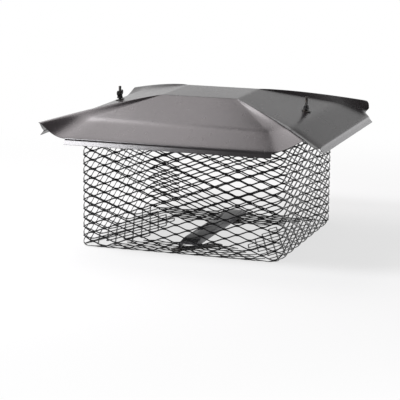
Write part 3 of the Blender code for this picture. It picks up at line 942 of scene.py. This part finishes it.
def rod_route(distance, top, foot, reach):
    """Stations down the rod and out along its foot: place, heading, share of thread and run."""
    straight = top - foot - HOOK_BEND
    step = THREAD_PITCH / STEPS_PER_THREAD
    count = int(straight / step)
    stations = []
    for number in range(count + 1):
        run = straight * number / count
        thread = min(1.0, run / THREAD_PITCH, max(0.0, (straight - run) / (THREAD_RUNOUT * THREAD_PITCH)))
        stations.append((Vector((distance, top - run)), pi, thread, run))
    for number in range(1, HOOK_BEND_STEPS + 1):
        turn = number / HOOK_BEND_STEPS * pi / 2
        place = Vector((distance + HOOK_BEND * (1 - cos(turn)), foot + HOOK_BEND * (1 - sin(turn))))
        stations.append((place, pi - turn, 0.0, straight))
    for number in range(1, HOOK_FOOT_STEPS + 1):
        out = distance + HOOK_BEND + (reach - distance - HOOK_BEND) * number / HOOK_FOOT_STEPS
        stations.append((Vector((out, foot)), pi / 2, 0.0, straight))
    return stations


def rod_ring(bm, side, place, heading, radius_at):
    """A ring of vertices square to the route, which lies in the plane y = 0."""
    across = Vector((cos(heading), 0.0, -sin(heading)))
    ring = []
    for number in range(ROD_AROUND):
        angle = 2 * pi * number / ROD_AROUND
        radius = radius_at(angle)
        offset = across * cos(angle) * radius + Vector((0.0, sin(angle) * radius, 0.0))
        ring.append(bm.verts.new((side * (place.x + offset.x), offset.y, place.y + offset.z)))
    return ring


def thread_radius(angle, run, share):
    """Radius on the helix, where the groove of the thread is written as a wave."""
    phase = (run / THREAD_PITCH - angle / (2 * pi)) % 1.0
    groove = (1 - cos(2 * pi * phase)) / 2
    return ROD_RADIUS - THREAD_DEPTH * share * groove


print("threads to 10 mm: %.1f" % (0.01 / THREAD_PITCH))

# %% Rods
def make_hook_bolt(node):
    side, distance, top, foot, reach = rod_axis(node)
    bm = bmesh.new()
    rings = []
    stations = rod_route(distance, top, foot, reach)
    for number, (place, heading, thread, run) in enumerate(stations):
        chamfer = ROD_CHAMFER if number in (0, len(stations) - 1) else 0.0
        rings.append(rod_ring(bm, side, place, heading,
                              lambda angle: thread_radius(angle, run, thread) - chamfer))
    for first, second in zip(rings, rings[1:]):
        for number in range(ROD_AROUND):
            after = (number + 1) % ROD_AROUND
            bm.faces.new((first[number], first[after], second[after], second[number]))
    bm.faces.new(rings[0])
    bm.faces.new(rings[-1])
    bmesh.ops.recalc_face_normals(bm, faces=bm.faces)
    rod = add_object(node.replace("bolt", "rod"), bm)
    make_piece(rod, node, bolt_black, sharp_angle=50)


for side in ("left", "right"):
    make_hook_bolt("hook_bolt_" + side)

# %% [markdown]
# A washer spreads the pull of each nut over the thin lid. It was punched, so its upper rim is
# rounded and its lower one is crisp. It lies on the slope of the panel, and so it is turned
# with the Screw modifier and then tipped to the slope of the lid.

# %% Washers
WASHER_BORE = 0.0032
WASHER_RADIUS = 0.0075
WASHER_THICKNESS = 0.0012
WASHER_CORNER = 0.0003
WASHER_AROUND = 64
ROUND_STEPS = 4
TURN_MERGE = 0.00001


def arc_points(centre, radius, start, end, steps):
    return [(centre[0] + radius * cos(start + (end - start) * step / steps),
             centre[1] + radius * sin(start + (end - start) * step / steps)) for step in range(steps + 1)]


def turned(name, profile, steps):
    """Spin a closed profile of (radius, height) about Z, listed from its top outer corner down."""
    bm = bmesh.new()
    verts = [bm.verts.new((radius, 0.0, height)) for radius, height in profile]
    for first, second in zip(verts, verts[1:] + verts[:1]):
        bm.edges.new((first, second))
    item = add_object(name, bm)
    step = item.modifiers.new("turn", "SCREW")
    step.steps = steps
    step.render_steps = steps
    step.use_merge_vertices = True
    step.merge_threshold = TURN_MERGE
    return item


def make_washer(side):
    node = "washer_" + side
    low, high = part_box(node)
    lean = atan(UPPER_SLOPE) * (1 if low.x > 0 else -1)
    half, corner = WASHER_THICKNESS / 2, WASHER_CORNER
    rim = arc_points((WASHER_RADIUS - corner, half - corner), corner, pi / 2, 0.0, ROUND_STEPS)
    bore = arc_points((WASHER_BORE + corner, half - corner), corner, pi, pi / 2, ROUND_STEPS)
    profile = rim + [(WASHER_RADIUS, -half), (WASHER_BORE, -half)] + bore
    washer = turned("washer_ring_" + side, profile, WASHER_AROUND)
    washer.matrix_world = Matrix.Translation((low + high) / 2) @ Matrix.Rotation(lean, 4, "Y")
    settle(washer)
    make_piece(washer, node, bolt_black, sharp_angle=40)


for side in ("left", "right"):
    make_washer(side)

# %% [markdown]
# A wing nut is a casting: a short tapered hub with two ears that grow out of it in soft
# fillets. Fillets between such shapes are hard to draw but easy to smooth. So the hub and the
# ears are only pushed into each other, remeshed into one skin, and relaxed until they flow
# together. The bore is cut last, so that it stays round.

# %% Wing nuts
HUB_RADIUS = 0.0050
HUB_TOP_RADIUS = 0.0038
HUB_HEIGHT = 0.0065
HUB_AROUND = 48
WING_RISE = 0.0135
WING_SPAN = 0.0250
WING_SINK = 0.0006
WING_THICKNESS = 0.0021
WING_ROOT = 1.35
WING_TAPER = 0.5
WING_TURNS = {"left": 88.0, "right": 104.0}
EAR_RADIUS = 0.0040
EAR_START = -pi / 3
EAR_END = pi * 0.86
EAR_STEPS = 10
SADDLE_HALF = 0.0015
SADDLE_SINK = 0.0004
NUT_VOXEL = 0.00032
NUT_SOFTENING = 0.5
NUT_SOFTEN_STEPS = 6
BORE_SLACK = 0.0001


def ear_outline():
    """The outline of one wing, from the hub round its ear and back to the saddle over the hub."""
    centre = (WING_SPAN / 2 - EAR_RADIUS, WING_RISE - EAR_RADIUS)
    ear = arc_points(centre, EAR_RADIUS, EAR_START, EAR_END, EAR_STEPS)
    saddle = [(SADDLE_HALF, HUB_HEIGHT - SADDLE_SINK), (0.0, HUB_HEIGHT - WING_SINK)]
    return [(0.0, WING_SINK)] + ear + saddle


def add_wing(bm, side):
    """A plate in the plane of the nut's axis, thicker at its root than at the ear."""
    faces = []
    for face_side in (-1, 1):
        ring = []
        for out, rise in ear_outline():
            thick = WING_THICKNESS / 2 * (WING_ROOT - WING_TAPER * out / (WING_SPAN / 2))
            ring.append(bm.verts.new((side * out, face_side * thick, rise)))
        faces.append(ring)
    near, far = faces
    bm.faces.new(near)
    bm.faces.new(far[::-1])
    for number in range(len(near)):
        after = (number + 1) % len(near)
        bm.faces.new((near[after], near[number], far[number], far[after]))


def make_wing_nut(side):
    node = "wing_nut_" + side
    bm = bmesh.new()
    for hand in (-1, 1):
        add_wing(bm, hand)
    bmesh.ops.recalc_face_normals(bm, faces=bm.faces)
    bmesh.ops.create_cone(bm, cap_ends=True, segments=HUB_AROUND, radius1=HUB_RADIUS,
                          radius2=HUB_TOP_RADIUS, depth=HUB_HEIGHT,
                          matrix=Matrix.Translation((0.0, 0.0, HUB_HEIGHT / 2)))
    nut = add_object("wing_nut_cast_" + side, bm)
    skin = nut.modifiers.new("skin", "REMESH")
    skin.mode = "VOXEL"
    skin.voxel_size = NUT_VOXEL
    soften = nut.modifiers.new("soften", "SMOOTH")
    soften.factor = NUT_SOFTENING
    soften.iterations = NUT_SOFTEN_STEPS
    settle(nut)
    hand, distance = rod_axis("hook_bolt_" + side)[:2]
    place = Vector((hand * distance, 0.0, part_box(node)[0].z))
    nut.matrix_world = Matrix.Translation(place) @ Matrix.Rotation(radians(WING_TURNS[side]), 4, "Z")
    cut_out(nut, [drill("bore_" + side, ROD_RADIUS + BORE_SLACK, place)])
    make_piece(nut, node, nut_black, sharp_angle=50)


for side in ("left", "right"):
    make_wing_nut(side)

# %% [markdown]
# The hold-down bar is a strip rolled into a shallow channel, laid open side down, with its two
# ends pressed down to the feet. Its outline is pushed along the bar as an open sheet, which then
# gets the strip's thickness. Three holes go through the flat of the web, and a small bevel on
# the sheared edges gives the thin light lines that a real edge has.

# %% Hold-down bar
BAR_SHEET = 0.0016
BAR_BEND = 0.0025
BAR_BEND_STEPS = 8
BAR_RISE = 0.0035
BAR_END_RUN = 0.030
BAR_END_STEPS = 12
HOLE_RADIUS = 0.0046
HOLE_PITCH = 0.041
HOLE_SHIFT = 0.011
HOLE_OFFSET = 0.006
EDGE_BEVEL = 0.00025
BEVEL_ANGLE = radians(50)


def bar_outline(width, depth):
    """The channel's outer outline, from one lower edge over the web to the other."""
    flat, shoulder = width / 2 - BAR_BEND, depth - BAR_BEND
    bend = arc_points((flat, shoulder), BAR_BEND, pi / 2, 0.0, BAR_BEND_STEPS)
    half = bend + [(width / 2, shoulder / 2), (width / 2, 0.0)]
    return [(-out, rise) for out, rise in reversed(half)] + half


def bar_rise(along, half):
    """Both ends ease down to the feet in a half wave."""
    share = min(1.0, (half - abs(along)) / BAR_END_RUN)
    return BAR_RISE * (1 - cos(pi * share)) / 2


def bevel_edges(item):
    step = item.modifiers.new("bevel", "BEVEL")
    step.width = EDGE_BEVEL
    step.segments = 2
    step.limit_method = "ANGLE"
    step.angle_limit = BEVEL_ANGLE


def make_bar():
    low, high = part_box("hold_down_bar")
    middle = (low.x + high.x) / 2
    half = (high.y - low.y) / 2
    depth = high.z - low.z - BAR_RISE
    ends = [half - BAR_END_RUN * step / BAR_END_STEPS for step in range(BAR_END_STEPS)]
    stations = [-place for place in ends] + [0.0] + ends[::-1]
    bm = bmesh.new()
    rows = []
    for along in stations:
        rise = low.z + bar_rise(along, half)
        rows.append([bm.verts.new((middle + out, along, rise + up_step))
                     for out, up_step in bar_outline(high.x - low.x, depth)])
    for first, second in zip(rows, rows[1:]):
        join_rows(bm, first, second)
    face_up(bm)
    bar = add_object("hold_down_channel", bm)
    thicken(bar, BAR_SHEET, even=True)
    places = [(middle - HOLE_OFFSET, step * HOLE_PITCH - HOLE_SHIFT, high.z) for step in (-1, 0, 1)]
    cut_out(bar, [drill("bar_hole", HOLE_RADIUS, Vector(place)) for place in places])
    bevel_edges(bar)
    settle(bar)
    make_piece(bar, "hold_down_bar", bar_paint, sharp_angle=40)


make_bar()

# %% [markdown]
# Under each end of the bar lies a short flat strip with round ends and a hole in each end. The
# strips were never straightened up: each lies at its own angle, which the solids already have.
# The outline is two half circles, and the plate is that outline with its thickness.

# %% Foot plates
FOOT_LENGTH = 0.090
FOOT_WIDTH = 0.022
FOOT_HOLE = 0.0035
FOOT_END_STEPS = 16
FOOT_TURNS = {"front": 45.0, "rear": 110.0}


def make_foot_plate(side):
    node = "foot_plate_" + side
    low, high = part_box(node)
    centre = (low + high) / 2
    thickness = high.z - low.z
    radius = FOOT_WIDTH / 2
    reach = FOOT_LENGTH / 2 - radius
    end = arc_points((reach, 0.0), radius, -pi / 2, pi / 2, FOOT_END_STEPS)
    bm = bmesh.new()
    outline = end + [(-out, -across) for out, across in end]
    bm.faces.new([bm.verts.new((out, across, thickness / 2)) for out, across in outline])
    plate = add_object("foot_strip_" + side, bm)
    thicken(plate, thickness)
    turn = radians(FOOT_TURNS[side])
    plate.matrix_world = Matrix.Translation(centre) @ Matrix.Rotation(turn, 4, "Z")
    settle(plate)
    along = Vector((cos(turn), sin(turn), 0.0)) * reach
    cut_out(plate, [drill("foot_hole", FOOT_HOLE, centre + along * hand) for hand in (-1, 1)])
    bevel_edges(plate)
    settle(plate)
    finish = make_strip_paint("foot_paint_" + side, color(0.060, 0.055, 0.052), color(0.105, 0.094, 0.086),
                              color(0.160, 0.140, 0.126), pi / 2 - turn)
    make_piece(plate, node, finish, sharp_angle=40)


for side in ("front", "rear"):
    make_foot_plate(side)

# %% [markdown]
# A plain pale floor takes the shadow. To the viewer it also glows, more so further out, where it
# is as white as the background, so that only a soft shadow shows. It isn't part of the cap.

# %% Floor
FLOOR_HALF = 6.0
FLOOR_DROP = 0.0005
FLOOR_SHADE = 0.86
FLOOR_ROUGHNESS = 0.8
FLOOR_GLOW = 0.72
SHADOW_REACH = 0.3
FLOOR_FADE = 1.1
bm = bmesh.new()
bmesh.ops.create_grid(bm, x_segments=1, y_segments=1, size=FLOOR_HALF)
floor_plane = add_object("floor", bm)
floor_plane.location.z = -FLOOR_DROP


def make_floor_paint():
    """A pale paint mixed with a white glow that only the camera, mirrors and glass see."""
    paint = Finish("floor_paint", gloss=0.2)
    paint.shader.inputs["Base Color"].default_value = color(FLOOR_SHADE, FLOOR_SHADE, FLOOR_SHADE)
    paint.shader.inputs["Roughness"].default_value = FLOOR_ROUGHNESS
    away = paint.node("ShaderNodeVectorMath", {"operation": "LENGTH"}, {0: paint.place}).outputs["Value"]
    share = Value(paint.tree, away).between(SHADOW_REACH, FLOOR_FADE) * (1 - FLOOR_GLOW) + FLOOR_GLOW
    rays = paint.node("ShaderNodeLightPath")
    seen = Value(paint.tree, rays.outputs["Is Camera Ray"])
    for ray in ("Is Glossy Ray", "Is Transmission Ray"):
        seen = seen.math("MAXIMUM", seen, Value(paint.tree, rays.outputs[ray]))
    seen = seen * share
    white = paint.node("ShaderNodeEmission", sockets={"Color": color(1.0, 1.0, 1.0), "Strength": 1.0})
    mixed = paint.node("ShaderNodeMixShader", sockets={
        0: seen, 1: paint.shader.outputs["BSDF"], 2: white.outputs["Emission"]})
    paint.tree.links.new(mixed.outputs[0], paint.tree.nodes["Material Output"].inputs["Surface"])
    return paint.material


floor_plane.data.materials.append(make_floor_paint())
print("floor:", 2 * FLOOR_HALF, "m")

# %% [markdown]
# Last, the scene is brought up to date.

# %% Bring the scene up to date
bpy.context.view_layer.update()
